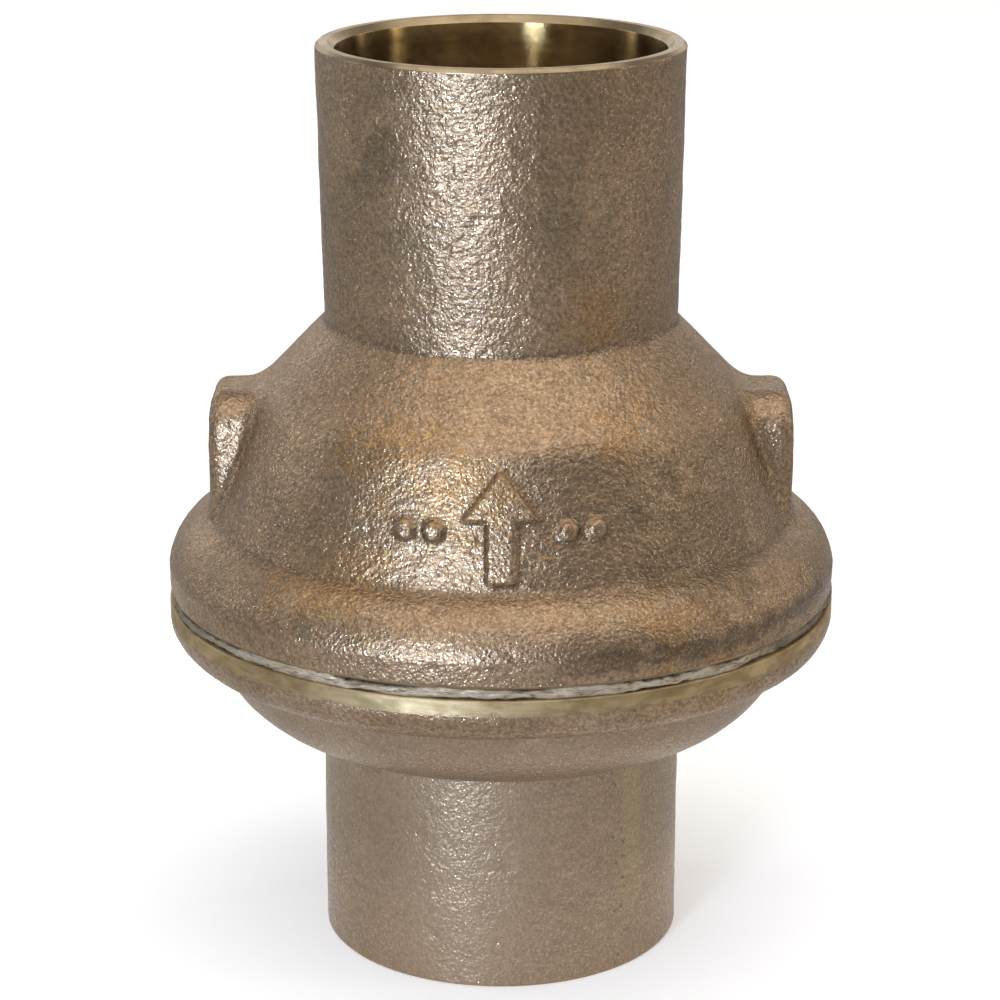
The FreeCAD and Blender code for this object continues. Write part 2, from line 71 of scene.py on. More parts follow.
SKIRT_FOOT, TOP = (corner[2] for corner in node_box("body"))
FLANGE = node_box("body")[1][0]  # radius of the flange and the skirt
SPIGOT_TOP = node_box("inlet_end")[1][2]
SPRING_FOOT, SPRING_TOP = (corner[2] for corner in node_box("spring"))


# ---------------------------------------------------------------- noise

TABLE = 64  # cells along each side of the noise table, after which it repeats
SHIFT = 19.37  # moves the cells' corners off the axis


def lattice(points, size, seed):
    """Smooth value noise between -1 and 1 at points in millimetres, in cells of the given size."""
    table = np.random.default_rng(seed).uniform(-1.0, 1.0, (TABLE,) * 3).astype(np.float32)
    scaled = points / size + SHIFT
    cell = np.floor(scaled).astype(np.int64)
    share = scaled - cell
    share = share * share * share * (share * (share * 6 - 15) + 10)
    total = np.zeros(len(points))
    for corner in itertools.product((0, 1), repeat=3):
        weight = np.prod(np.where(corner, share, 1 - share), axis=1)
        i, j, k = ((cell + corner) % TABLE).T
        total += weight * table[i, j, k]
    return total


def sand_relief(points):
    """How far a sand-cast skin stands in or out, in millimetres: grain, lumps, slow waves and a few pits."""
    grain = lattice(points, 0.62, 11)
    lumps = lattice(points, 1.3, 12) + 0.6 * lattice(points, 2.4, 13)
    waves = lattice(points, 9.0, 14) + 0.7 * lattice(points, 5.0, 15)
    pits = np.clip(lattice(points, 1.9, 16) - 0.62, 0, 1)
    return 0.024 * grain + 0.020 * lumps + 0.060 * waves - 0.36 * pits


# ---------------------------------------------------------------- profiles

# spacings of an outline's points, in millimetres: on the cast skin, on turned faces, in bores
FINE, FACE, WALL = 0.3, 0.9, 1.6


def on_circle(centre, radius, angle):
    """The point of a circle at an angle."""
    return centre + radius * np.array((math.cos(angle), math.sin(angle)))


def turning(start, end):
    """The angle of a vector, and the shorter turn from it to another."""
    first = math.atan2(start[1], start[0])
    return first, (math.atan2(end[1], end[0]) - first + math.pi) % (2 * math.pi) - math.pi


def arc(start, end, radius, left):
    """Points of the shorter arc from start to end, the start left out."""
    a, b = np.array(start, float), np.array(end, float)
    chord = b - a
    half = np.linalg.norm(chord) / 2
    side = np.array((-chord[1], chord[0])) / (2 * half)
    centre = (a + b) / 2 + side * math.sqrt(max(radius**2 - half**2, 0)) * (1 if left else -1)
    first, turn = turning(a - centre, b - centre)
    steps = max(2, round(abs(turn) * radius / FINE))
    return [on_circle(centre, radius, first + turn * k / steps) for k in range(1, steps + 1)]


def bend(before, here, after, rounding):
    """Points of a corner's rounding, and how far it reaches along each side."""
    u, v = ((point - here) / np.linalg.norm(point - here) for point in (before, after))
    angle = math.acos(np.clip(u @ v, -1, 1))
    if not rounding or abs(math.pi - angle) < 0.02:
        return [here], 0.0
    reach = rounding / math.tan(angle / 2)
    centre = here + (u + v) / np.linalg.norm(u + v) * rounding / math.sin(angle / 2)
    first, turn = turning(here + u * reach - centre, here + v * reach - centre)
    steps = max(3, round((math.pi - angle) * rounding / FINE))
    return [on_circle(centre, rounding, first + turn * k / steps) for k in range(steps + 1)], reach


def outline(corners):
    """A closed outline from (radius, height, rounding, kind, spacing) corners.

    kind and spacing are those of the run that leaves the corner, and (..., arc radius, turns left)
    makes that run an arc. Gives the points and the kind of the run that each is on.
    """
    runs = []
    for corner, following in zip(corners, corners[1:] + corners[:1]):
        path = arc(corner[:2], following[:2], *corner[5:]) if len(corner) > 5 else [following[:2]]
        runs.append([np.array(point) for point in (corner[:2], *path)])
    bends = [bend(runs[index - 1][-2], *run[:2], corners[index][2]) for index, run in enumerate(runs)]
    points, kinds = [], []
    for index, (run, (rounded, reach)) in enumerate(zip(runs, bends)):
        kind, spacing = corners[index][3:5]
        next_rounded, next_reach = bends[(index + 1) % len(bends)]
        inner = [point for point in run[1:-1] if math.dist(point, run[0]) > reach + 0.1
                 and math.dist(point, run[-1]) > next_reach + 0.1]
        placed, chain = rounded[:-1], [rounded[-1], *inner, next_rounded[0]]
        for a, b in zip(chain, chain[1:]):
            steps = max(1, round(np.linalg.norm(b - a) / spacing))
            placed += [a + (b - a) * step / steps for step in range(steps)]
        points += placed
        kinds += [kind] * len(placed)
    return np.array(points), np.array(kinds)


def swept(name, points, kinds, move, materials):
    """A closed surface turned about Z from a closed outline; move(grid, kinds) shifts its vertices."""
    angles = np.arange(COLUMNS) * 2 * math.pi / COLUMNS
    grid = np.empty((len(points), COLUMNS, 3))
    grid[..., 0] = points[:, :1] * np.cos(angles)
    grid[..., 1] = points[:, :1] * np.sin(angles)
    grid[..., 2] = points[:, 1:]
    return lofted(name, move(grid, kinds), kinds, materials)


def grid_normals(grid):
    """Outward normals of a grid that closes both ways."""
    around = np.roll(grid, -1, 1) - np.roll(grid, 1, 1)
    along = np.roll(grid, -1, 0) - np.roll(grid, 1, 0)
    normals = np.cross(around, along)
    return normals / np.maximum(np.linalg.norm(normals, axis=2, keepdims=True), 1e-12)


def lofted(name, grid, kinds, materials, sharp=55):
    """A mesh object from a grid of millimetre points that closes both ways; kinds are the rows' materials."""
    rows, columns = grid.shape[:2]
    i, j = np.meshgrid(np.arange(rows), np.arange(columns), indexing="ij")
    after, right = (i + 1) % rows, (j + 1) % columns
    here, above = i * columns, after * columns
    quads = np.stack([here + j, here + right, above + right, above + j], -1)
    mesh = bpy.data.meshes.new(name)
    mesh.vertices.add(rows * columns)
    mesh.vertices.foreach_set("co", (grid.reshape(-1) * MM).astype(np.float32))
    mesh.loops.add(quads.size)
    mesh.loops.foreach_set("vertex_index", quads.reshape(-1).astype(np.int32))
    mesh.polygons.add(rows * columns)
    mesh.polygons.foreach_set("loop_start", np.arange(0, quads.size, 4, dtype=np.int32))
    mesh.polygons.foreach_set("material_index", np.repeat(kinds, columns).astype(np.int32))
    mesh.update(calc_edges=True)
    mesh.validate()
    mesh.shade_smooth()
    mesh.set_sharp_from_angle(angle=math.radians(sharp))
    for material in materials:
        mesh.materials.append(material)
    piece = bpy.data.objects.new(name, mesh)
    bpy.context.scene.collection.objects.link(piece)
    return piece


def cast_share(kinds):
    """How much of the sand relief each row takes: none where it is machined, and less close to that."""
    share = (kinds == CAST).astype(float)
    share = np.minimum(share, np.roll(share, 1))
    for _ in range(3):
        share = np.minimum(share, (np.roll(share, 1) + 2 * share + np.roll(share, -1)) / 4)
    return share


# ---------------------------------------------------------------- materials

class Nodes:
    """A short way to write a node material."""

    def __init__(self, name):
        self.material = bpy.data.materials.new(name)
        self.material.use_nodes = True
        self.tree = self.material.node_tree
        self.shader = next(n for n in self.tree.nodes if n.type == "BSDF_PRINCIPLED")
        self.place = self.add("ShaderNodeTexCoord").outputs["Object"]

    def add(self, kind, links=(), **values):
        node = self.tree.nodes.new(kind)
        for name, value in values.items():
            setattr(node, name, value)
        for socket, source in dict(links).items():
            if isinstance(source, bpy.types.NodeSocket):
                self.tree.links.new(source, node.inputs[socket])
            else:
                node.inputs[socket].default_value = source
        return node

    def noise(self, scale, detail=2.0, rough=0.5, distortion=0.0, place=None):
        links = {"Vector": place or self.place, "Scale": scale, "Detail": detail, "Roughness": rough}
        return self.add("ShaderNodeTexNoise", {**links, "Distortion": distortion}).outputs["Fac"]

    def cells(self, scale, feature="SMOOTH_F1", smooth=1.0, place=None):
        links = {"Vector": place or self.place, "Scale": scale}
        node = self.add("ShaderNodeTexVoronoi", links, feature=feature)
        if feature == "SMOOTH_F1":
            node.inputs["Smoothness"].default_value = smooth
        return node.outputs["Distance"]

    def ramp(self, value, stops):
        node = self.add("ShaderNodeValToRGB", {"Fac": value})
        elements = node.color_ramp.elements
        while len(elements) < len(stops):
            elements.new(0.5)
        for element, (position, colour) in zip(elements, stops):
            element.position = position
            element.color = (*colour, 1) if isinstance(colour, tuple) else (colour, colour, colour, 1)
        return node.outputs["Color"]

    def spread(self, value, low, high, to_low=0.0, to_high=1.0):
        links = {"Value": value, "From Min": low, "From Max": high, "To Min": to_low, "To Max": to_high}
        node = self.add("ShaderNodeMapRange", links, clamp=True, interpolation_type="SMOOTHSTEP")
        return node.outputs["Result"]

    def mix(self, share, first, second, blend="MIX"):
        node = self.add("ShaderNodeMix", data_type="RGBA", blend_type=blend)
        for index, source in ((0, share), (6, first), (7, second)):
            if isinstance(source, bpy.types.NodeSocket):
                self.tree.links.new(source, node.inputs[index])
            else:
                node.inputs[index].default_value = (*source, 1) if isinstance(source, tuple) else source
        return node.outputs[2]

    def sum(self, first, second, operation="ADD"):
        return self.add("ShaderNodeMath", {0: first, 1: second}, operation=operation).outputs[0]

    def bump(self, height, distance, strength=1.0, normal=None):
        links = {"Height": height, "Distance": distance, "Strength": strength}
        if normal is not None:
            links["Normal"] = normal
        return self.add("ShaderNodeBump", links).outputs["Normal"]

    def coordinate(self, axis):
        return self.add("ShaderNodeSeparateXYZ", {"Vector": self.place}).outputs[axis]

    def radius(self):
        x_squared, y_squared = (self.sum(self.coordinate(axis), 2.0, "POWER") for axis in (0, 1))
        return self.sum(self.sum(x_squared, y_squared), 0.5, "POWER")

    def section(self):
        """Radius and height, so that a noise of them makes rings round the axis."""
        return self.add("ShaderNodeCombineXYZ", {"X": self.radius(), "Z": self.coordinate(2)}).outputs[0]

    def fade(self, far, reach, ragged, core=0.3, scale=260):
        """1 within a share (core) of the reach, falling to 0 at the reach, with a ragged edge."""
        if ragged:
            edge = self.spread(self.noise(scale, 3), 0.3, 0.7, -ragged * MM, ragged * MM)
            far = self.sum(far, edge)
        return self.spread(far, reach * MM * core, reach * MM, 1.0, 0.0)

    def near(self, centre, reach, ragged=0.0):
        """1 at a place of the object, falling to 0 at the reach, with a ragged edge."""
        links = {0: self.place, 1: tuple(value * MM for value in centre)}
        far = self.add("ShaderNodeVectorMath", links, operation="DISTANCE").outputs["Value"]
        return self.fade(far, reach, ragged)

    def patches(self, places):
        """1 at each of several places, which are as near() takes them."""
        total = self.near(places[0][:3], *places[0][3:])
        for place in places[1:]:
            total = self.sum(total, self.near(place[:3], *place[3:]), "MAXIMUM")
        return total

    def ring(self, radius, height, reach, ragged=0.0):
        """1 on a ring round the axis, falling to 0 at the reach from it, with a ragged edge."""
        across = self.sum(self.radius(), -radius * MM)
        up = self.sum(self.coordinate(2), -height * MM)
        squares = self.sum(self.sum(across, 2.0, "POWER"), self.sum(up, 2.0, "POWER"))
        return self.fade(self.sum(squares, 0.5, "POWER"), reach, ragged, 0.25, 330)

    def upright(self, x, y, reach, ragged=0.0):
        """1 on an upright line, falling to 0 at the reach from it, with a ragged edge."""
        links = {0: self.stretched(1, 1, 0), 1: (x * MM, y * MM, 0)}
        far = self.add("ShaderNodeVectorMath", links, operation="DISTANCE").outputs["Value"]
        return self.fade(far, reach, ragged)

    def stretched(self, *shares):
        return self.add("ShaderNodeVectorMath", {0: self.place, 1: shares}, operation="MULTIPLY").outputs[0]

    def set(self, **values):
        for name, value in values.items():
            socket = self.shader.inputs[name.replace("_", " ")]
            if isinstance(value, bpy.types.NodeSocket):
                self.tree.links.new(value, socket)
            else:
                socket.default_value = (*value, 1) if isinstance(value, tuple) else value
        return self.material


# stains: place, reach and raggedness, in millimetres
RUST = [
    (-19, -31, 56, 9, 3), (-26, -28, 54, 6, 3), (-14, -28, 73, 8, 3), (-5, -32, 69, 7, 3),
    (11, -21, 87, 6, 2), (14, -24, 74, 6, 3), (20, -34, 52, 7, 3), (25, -33, 43, 8, 4),
]
SOOT = [(24, -27, 62, 13, 5), (-15, -17, 105, 5, 3), (-13, -30, 38, 6, 3), (-9, -25, 32, 5, 2)]


def cast_bronze(name, tint, is_lower, creases):
    """Blasted sand casting: sandy grain, soft lumps, taupe to pinkish metal with ochre and olive stains.

    creases are darkened rings, painted shade in the creases and a stained band where only the right is kept:
    (radius, height, reach, raggedness, strength, on the right only).
    The lower casting is greyer under its flange, and has a paler upright streak down its neck.
    """
    n = Nodes(name)
    broad = n.spread(n.noise(55, 3, 0.55, 0.6), 0.36, 0.66)
    base = n.mix(broad, (0.370, 0.243, 0.138), tint)
    mottle = n.spread(n.noise(230, 4, 0.6, 0.4), 0.30, 0.72)
    base = n.mix(mottle, n.mix(0.55, base, (0.285, 0.200, 0.122)), base)
    base = n.mix(n.sum(n.patches(RUST), 0.62, "MULTIPLY"), base, (0.41, 0.235, 0.090))
    base = n.mix(n.sum(n.patches(SOOT), 0.50, "MULTIPLY"), base, (0.135, 0.100, 0.055))
    olive = n.spread(n.noise(95, 3, 0.55, 1.2), 0.56, 0.74)
    base = n.mix(n.sum(olive, 0.45, "MULTIPLY"), base, (0.245, 0.205, 0.115))
    grain = n.noise(1900, 3, 0.6)
    base = n.mix(n.spread(grain, 0.35, 0.62), n.mix(0.53, base, (0.105, 0.073, 0.046)), base)
    if is_lower:
        low = n.spread(n.coordinate(2), 0.0385, 0.041, 0.55, 0.0)
        base = n.mix(low, base, (0.380, 0.290, 0.205))
        # A paler upright streak down the neck.
        run = n.sum(n.upright(16.6, -16.4, 2.6, 0.7), n.spread(n.coordinate(2), 0.004, 0.012), "MULTIPLY")
        base = n.mix(n.sum(run, 0.45, "MULTIPLY"), base, (0.42, 0.345, 0.175))
        foot = n.spread(n.coordinate(2), 0.001, 0.016, 0.30, 0.0)
        base = n.mix(foot, base, (0.210, 0.150, 0.090))
        specks = n.spread(n.noise(1250, 3, 0.6), 0.58, 0.68)
        beside = n.sum(specks, n.upright(15.4, -17.6, 3.0), "MULTIPLY")
        base = n.mix(n.sum(beside, 0.60, "MULTIPLY"), base, (0.085, 0.060, 0.036))
    # Painted shade: concave places, where the pointiness is low, are darkened.
    pointed = n.add("ShaderNodeNewGeometry").outputs["Pointiness"]
    base = n.mix(n.spread(pointed, 0.455, 0.505), n.mix(0.55, base, (0.10, 0.068, 0.038)), base)
    # Each ring is darkened: painted shade in a crease, and a stained band where only the right is kept.
    for *place, strength, right_only in creases:
        crease_shade_and_stain = n.sum(n.ring(*place), strength, "MULTIPLY")
        if right_only:
            crease_shade_and_stain = n.sum(crease_shade_and_stain, n.spread(n.coordinate(0), 0.004, 0.014), "MULTIPLY")
        base = n.mix(crease_shade_and_stain, base, (0.085, 0.058, 0.034))
    glint = n.spread(n.noise(3000, 1, 0.5), 0.54, 0.62)
    base = n.mix(n.sum(glint, 0.16, "MULTIPLY"), base, (0.68, 0.64, 0.58))
    rough = n.spread(glint, 0, 1, 0.36, 0.12)
    calm = n.spread(n.coordinate(2), 0.024, 0.041, 0.68, 1.0)
    coarse = n.sum(calm, n.spread(n.coordinate(2), 0.0500, 0.0590, 0.25, 1.0), "MULTIPLY")
    normal = n.bump(n.noise(620, 2, 0.55, place=n.stretched(1, 1, 1.4)), 0.00019, coarse)
    normal = n.bump(n.cells(2100, smooth=0.4), 0.00007, calm, normal)
    normal = n.bump(n.noise(3300, 2.0, 0.65), 0.00009, calm, normal)
    return n.set(Base_Color=base, Metallic=0.90, Roughness=rough, Normal=normal)


def turned_bronze(name, low, high, rough_range, rings, wear, drawn=0.6, skin=0.0):
    """Machined bronze: fine lathe rings, scuffs and a slightly uneven tarnish.

    low and high are its colours, rings the rings' noise scale and depth, drawn how far they stretch a glint.
    Below the height given as skin, in metres, the cast skin is left on, with a ragged edge.
    """
    n = Nodes(name)
    lathe = n.noise(rings[0], 3, 0.7, place=n.section())
    tarnish = n.spread(n.noise(150, 4, 0.62, 0.5, place=n.stretched(1, 1, 3)), 0.36, 0.64)
    base = n.mix(tarnish, low, high)
    base = n.mix(n.spread(lathe, 0.35, 0.65, 0.0, 0.35), base, low)
    scuffs = n.spread(n.noise(900, 4, 0.7, 1.5), 0.60, 0.72)
    base = n.mix(n.sum(scuffs, wear, "MULTIPLY"), base, (0.13, 0.10, 0.06))
    rough = n.spread(n.noise(420, 3, 0.6), 0.3, 0.7, *rough_range)
    normal = n.bump(lathe, rings[1])
    normal = n.bump(n.noise(1900, 3, 0.6), 0.00001, normal=normal)
    if skin:
        ragged = n.spread(n.noise(700, 3, 0.65, place=n.stretched(1, 1, 2)), 0.3, 0.7, -0.0006, 0.0006)
        left = n.spread(n.sum(n.coordinate(2), ragged), skin - 0.0004, skin + 0.0003, 1.0, 0.0)
        base = n.mix(left, base, (0.36, 0.265, 0.165))
        normal = n.bump(n.noise(2600, 2, 0.6), 0.00008, left, normal)
    tangent = n.add("ShaderNodeTangent", direction_type="RADIAL", axis="Z").outputs[0]
    return n.set(Base_Color=base, Metallic=1.0, Roughness=rough, Normal=normal, Tangent=tangent,
                 Anisotropic=drawn, Anisotropic_Rotation=0.25)


def steel(name):
    """Drawn or turned stainless steel, with fine rings and small marks."""
    n = Nodes(name)
    drawn = n.noise(5200, 2, 0.6, place=n.section())
    marks = n.spread(n.noise(800, 4, 0.65, 1.0), 0.55, 0.75)
    base = n.mix(n.spread(drawn, 0.3, 0.7), (0.50, 0.49, 0.47), (0.62, 0.61, 0.59))
    base = n.mix(n.sum(marks, 0.5, "MULTIPLY"), base, (0.30, 0.29, 0.27))
    rough = n.spread(n.noise(1200, 3, 0.6), 0.3, 0.7, 0.22, 0.38)
    return n.set(Base_Color=base, Metallic=1.0, Roughness=rough, Normal=n.bump(drawn, 0.00002))


def polymer(name, low, high, rough, grain_scale):
    """Moulded or skived polymer: faint clouding and a fine grain."""
    n = Nodes(name)
    cloud = n.noise(320, 4, 0.6, 0.6)
    base = n.mix(n.spread(cloud, 0.3, 0.7), low, high)
    grain = n.noise(grain_scale, 2, 0.6)
    rough_map = n.spread(grain, 0.3, 0.7, rough - 0.08, rough + 0.08)
    return n.set(Base_Color=base, Roughness=rough_map, Normal=n.bump(grain, 0.00003), Specular_IOR_Level=0.45)


def sealant():
    """Cured sealant squeezed from the seam: torn, grey to brown, metal dust on it, darker towards the back.
    """
    n = Nodes("sealant_bead")
    slivers = n.noise(330, 4, 0.62, 0.5, place=n.stretched(1, 1, 5))
    base = n.ramp(slivers, [
        (0.34, (0.20, 0.145, 0.090)),
        (0.46, (0.34, 0.26, 0.165)),
        (0.62, (0.50, 0.415, 0.30)),
    ])
    # Darker towards the back.
    base = n.mix(n.spread(n.coordinate(1), -0.036, -0.018, 0.0, 0.75), base, (0.115, 0.090, 0.056))
    cracks = n.spread(n.noise(700, 3, 0.6, place=n.stretched(1, 1, 6)), 0.36, 0.42)
    base = n.mix(cracks, (0.13, 0.095, 0.060), base)
    metal = n.spread(slivers, 0.46, 0.62, 0.05, 0.40)
    normal = n.bump(slivers, 0.00018)
    normal = n.bump(n.noise(2200, 3, 0.65), 0.00008, normal=normal)
    rough = n.spread(slivers, 0.42, 0.62, 0.60, 0.34)
    return n.set(Base_Color=base, Metallic=metal, Roughness=rough, Normal=normal, Specular_IOR_Level=0.25)


CAST_UPPER = cast_bronze("cast_bronze_upper", (0.485, 0.324, 0.190), False, [
    # Painted shade in the creases at the bell's foot and top; a stained band on the right of the shoulder's
    # edge.
    (37.3, 57.6, 0.7, 0.0, 0.35, False),
    (22.5, 82.9, 0.5, 0.0, 0.25, False),
    (42.9, 50.9, 1.7, 0.8, 0.62, True),
])
CAST_LOWER = cast_bronze("cast_bronze_lower", (0.480, 0.345, 0.222), True, [
    # Painted shade in the creases where the lower dome meets the flange band and the neck.
    (37.4, 40.8, 0.60, 0.3, 0.9, False),
    (23.3, 29.9, 1.1, 0.4, 0.8, False),
])
BAND = turned_bronze("turned_band", (0.34, 0.248, 0.125), (0.58, 0.455, 0.265), (0.46, 0.60),
                     (7000, 0.000012), wear=0.45, skin=0.0447)
CUP = turned_bronze("turned_cup", (0.30, 0.202, 0.083), (0.46, 0.325, 0.150), (0.21, 0.27),
                    (5200, 0.000006), wear=0.08, drawn=1.0)
TRIM = turned_bronze("turned_trim", (0.28, 0.215, 0.130), (0.42, 0.33, 0.205), (0.30, 0.40),
                     (6000, 0.000010), wear=0.25)
STEEL = steel("stainless_steel")
DISC = polymer("seat_disc_polymer", (0.78, 0.77, 0.72), (0.88, 0.87, 0.84), 0.38, 2200)
BUSH = polymer("bush_polymer", (0.55, 0.47, 0.33), (0.70, 0.63, 0.48), 0.45, 1800)
GASKET = polymer("gasket_polymer", (0.68, 0.66, 0.60), (0.80, 0.79, 0.75), 0.50, 2600)
SEALANT = sealant()


# ---------------------------------------------------------------- upper casting

UPPER = outline([
    (42.7, SKIRT_FOOT, 0.10, TURNED, 0.15),
    (42.88, 48.4, 0.15, CAST, FINE),
    (FLANGE, 51.3, 0.0, CAST, FINE, 8.2, True),
    (37.2, 57.6, 1.4, CAST, FINE),
    (31.3, 73.7, 9.0, CAST, FINE),
    (22.45, 82.9, 1.3, CAST, 0.32),
    (23.1, 117.35, 0.18, TURNED, 0.2),
    (22.65, TOP, 0.12, TURNED, 0.3),
    (21.55, TOP, 0.12, TURNED, 0.25),
    (20.7, 116.95, 0.12, BORE, WALL),
    (20.7, 90.1, 0.15, BORE, 0.6),
    (17.6, 90.1, 0.2, BORE, FACE),
    (17.6, 86.5, 0.2, BORE, 0.4),
    (18.8, 86.5, 0.1, BORE, FACE),
    (18.8, 82.5, 0.08, BORE, 0.4),
    (19.8, 82.5, 0.08, BORE, 0.4),
    (19.8, 81.3, 0.08, BORE, 0.4),
    (18.8, 81.3, 0.08, BORE, 0.6),
    (18.8, 80.0, 0.3, CAST, 1.2),
    (27.9, 72.2, 2.5, CAST, 1.4),
    (34.1, 56.6, 1.5, CAST, 1.2),
    (34.1, 54.0, 0.15, TURNED, 0.8),
    (38.4, 54.0, 0.15, TURNED, 0.9),
    (38.4, SKIRT_FOOT, 0.2, TURNED, 0.8),
])
ROWS_OUT = int(np.argmax(UPPER[0][:, 1] > TOP - 0.5))  # rows of the outside, below the rim
BELL_Z, BELL_R = UPPER[0][:ROWS_OUT, 1], UPPER[0][:ROWS_OUT, 0]
SLOPE = np.gradient(BELL_R, BELL_Z)

ARROW = np.array([(-1.7, 58.9), (1.7, 58.9), (1.7, 65.9), (4.6, 65.9), (0, 71.5), (-4.6, 65.9), (-1.7, 65.9)])
DOTS = [(side * (8.0 + step * 3.4), 64.6) for side in (-1, 1) for step in (0, 1)]


def bell_distance(points):
    """Signed distance from the bell's outside, good close to it."""
    radius = np.hypot(points[..., 0], points[..., 1])
    wall = np.interp(points[..., 2], BELL_Z, BELL_R)
    slope = np.interp(points[..., 2], BELL_Z, SLOPE)
    return (radius - wall) / np.sqrt(1 + np.clip(slope, -2.5, 2.5) ** 2)


def rounded_corner(first, second, rounding):
    """What two distances have in common, the corner between them rounded."""
    first, second = first + rounding, second + rounding
    outside = np.hypot(np.maximum(first, 0), np.maximum(second, 0))
    return outside + np.minimum(np.maximum(first, second), 0) - rounding


def lug_distance(points, side):
    """Signed distance from one wrench lug: its long edges well rounded, its outer face a little crowned."""
    long_rounding, end_rounding = 5.0, 1.8
    centre = np.array((side * 27.3, 0, 61.45))
    half = np.array((9.8, 8.0, 12.45))
    gap = np.abs(points - centre) - half
    across = rounded_corner(gap[..., 1], gap[..., 2], long_rounding)
    crown = 0.25 * ((points[..., 2] - 65.0) / 9.0) ** 2
    return rounded_corner(gap[..., 0] + crown, across, end_rounding)


def merged(first, second, blend):
    """Smooth union of two distances."""
    share = np.clip(0.5 + 0.5 * (second - first) / blend, 0, 1)
    return second * (1 - share) + first * share - blend * share * (1 - share)


LUG_ARC, LUG_FADE = 27, 4  # degrees: how far round from a lug's middle the skin moves, and its last part


def push_lugs(grid):
    """Draws the skin out over the two lugs, along rays from a point inside each."""
    rows = np.where((grid[:ROWS_OUT, 0, 2] > 53.5) & (grid[:ROWS_OUT, 0, 2] < 80))[0]
    angles = np.degrees(np.arctan2(grid[0, :, 1], grid[0, :, 0]))
    for side in (-1, 1):
        away = np.abs(angles) if side > 0 else 180 - np.abs(angles)
        columns = np.where(away < LUG_ARC)[0]
        patch = grid[np.ix_(rows, columns)]
        inside = np.array((side * 25.0, 0, 59.5))
        ray = patch - inside
        length = np.linalg.norm(ray, axis=-1, keepdims=True)
        ray = ray / length
        steps = np.linspace(-1.5, 9.0, 85)
        depth = np.stack([merged(bell_distance(inside + ray * (length + s)),
                                 lug_distance(inside + ray * (length + s), side), 1.9) for s in steps])
        outside = depth > 0
        first = np.argmax(outside, axis=0)
        first = np.clip(first, 1, len(steps) - 1)
        before = np.take_along_axis(depth, first[None] - 1, 0)[0]
        after = np.take_along_axis(depth, first[None], 0)[0]
        share = np.clip(-before / np.maximum(after - before, 1e-9), 0, 1)
        reach = steps[first - 1] + (steps[1] - steps[0]) * share
        fade = np.clip((LUG_ARC - away[columns]) / LUG_FADE, 0, 1)
        grid[np.ix_(rows, columns)] = patch + ray * (reach * fade)[..., None]
    return grid


def polygon_distance(across, up, corners):
    """Signed distance from a polygon in the plane, below zero inside."""
    nearest = np.full(across.shape, 1e9)
    inside = np.zeros(across.shape, bool)
    for (x0, z0), (x1, z1) in zip(corners, np.roll(corners, -1, 0)):
        dx, dz = x1 - x0, z1 - z0
        share = np.clip(((across - x0) * dx + (up - z0) * dz) / (dx**2 + dz**2), 0, 1)
        nearest = np.minimum(nearest, np.hypot(across - x0 - share * dx, up - z0 - share * dz))
        if z0 != z1:
            inside ^= ((up > z0) != (up > z1)) & (across < dx * (up - z0) / dz + x0)
    return np.where(inside, -nearest, nearest)


def mark_relief(points):
    """Height of the raised flow arrow and dots at points of the front wall."""
    across, up = points[..., 0], points[..., 2]
    distance = polygon_distance(across, up, ARROW)
    for x, z in DOTS:
        distance = np.minimum(distance, np.hypot(across - x, up - z) - 1.1)
    share = np.clip((0.34 - distance) / 0.64, 0, 1)
    return np.where(points[..., 1] < 0, 0.8 * share * share * (3 - 2 * share), 0.0)


def shape_upper(grid, kinds):
    """Adds the lugs, the marks and the sand relief to the upper casting."""
    grid = push_lugs(grid)
    normals = grid_normals(grid)
    marks = np.zeros(grid.shape[:2])
    marks[:ROWS_OUT] = mark_relief(grid[:ROWS_OUT])
    flat = grid.reshape(-1, 3)
    relief = sand_relief(flat).reshape(marks.shape) * cast_share(kinds)[:, None]
    return grid + normals * (relief + marks)[..., None]


body = swept("upper_casting", *UPPER, shape_upper, [CAST_UPPER, TRIM, CUP])
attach(body, "shell")
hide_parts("body")


# ---------------------------------------------------------------- lower casting

LOWER = outline([
    (21.55, 0.0, 0.12, TURNED, 0.3),
    (22.9, 0.0, 0.12, TURNED, 0.2),
    (23.3, 0.4, 0.15, CAST, 0.32),
    (23.3, 29.9, 0.6, CAST, FINE, 13.4, True),
    (37.45, 40.8, 0.4, CAST, FINE, 4.08, True),
    (FLANGE, 44.6, 0.25, TURNED, 0.5),
    (FLANGE, 46.45, 0.08, TURNED, 0.15),
    (42.85, 46.6, 0.08, TURNED, 0.9),
    (38.2, 46.6, 0.2, TURNED, 0.8),
    (38.2, 52.7, 0.1, TURNED, 0.4),
    (37.7, SPIGOT_TOP, 0.1, TURNED, 0.8),
    (34.1, SPIGOT_TOP, 0.2, CAST, 1.4),
    (34.1, 43.3, 0.0, CAST, 1.4, 9.8, False),
    (24.3, 33.5, 0.6, CAST, 1.2),
    (24.3, 41.0, 0.2, TURNED, 0.8),
    (20.2, 41.0, 0.15, TURNED, 0.9),
    (20.2, 33.0, 0.1, TURNED, 0.7),
    (18.3, 33.0, 0.15, BORE, FACE),
    (18.3, 27.7, 0.15, BORE, 0.6),
    (20.7, 27.7, 0.12, BORE, WALL),
    (20.7, 0.85, 0.12, TURNED, 0.25),
])


def shape_lower(grid, kinds):
    """Adds the sand relief to the lower casting, a little less of it under the flange."""
    normals = grid_normals(grid)
    relief = sand_relief(grid.reshape(-1, 3)).reshape(grid.shape[:2])
    calm = np.where(grid[..., 2] < 40.5, 0.75, 1.0)
    return grid + normals * (relief * calm * cast_share(kinds)[:, None])[..., None]


inlet = swept("lower_casting", *LOWER, shape_lower, [CAST_LOWER, BAND, CUP])
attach(inlet, "shell")
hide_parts("inlet_end")


# ---------------------------------------------------------------- sealant in the seam

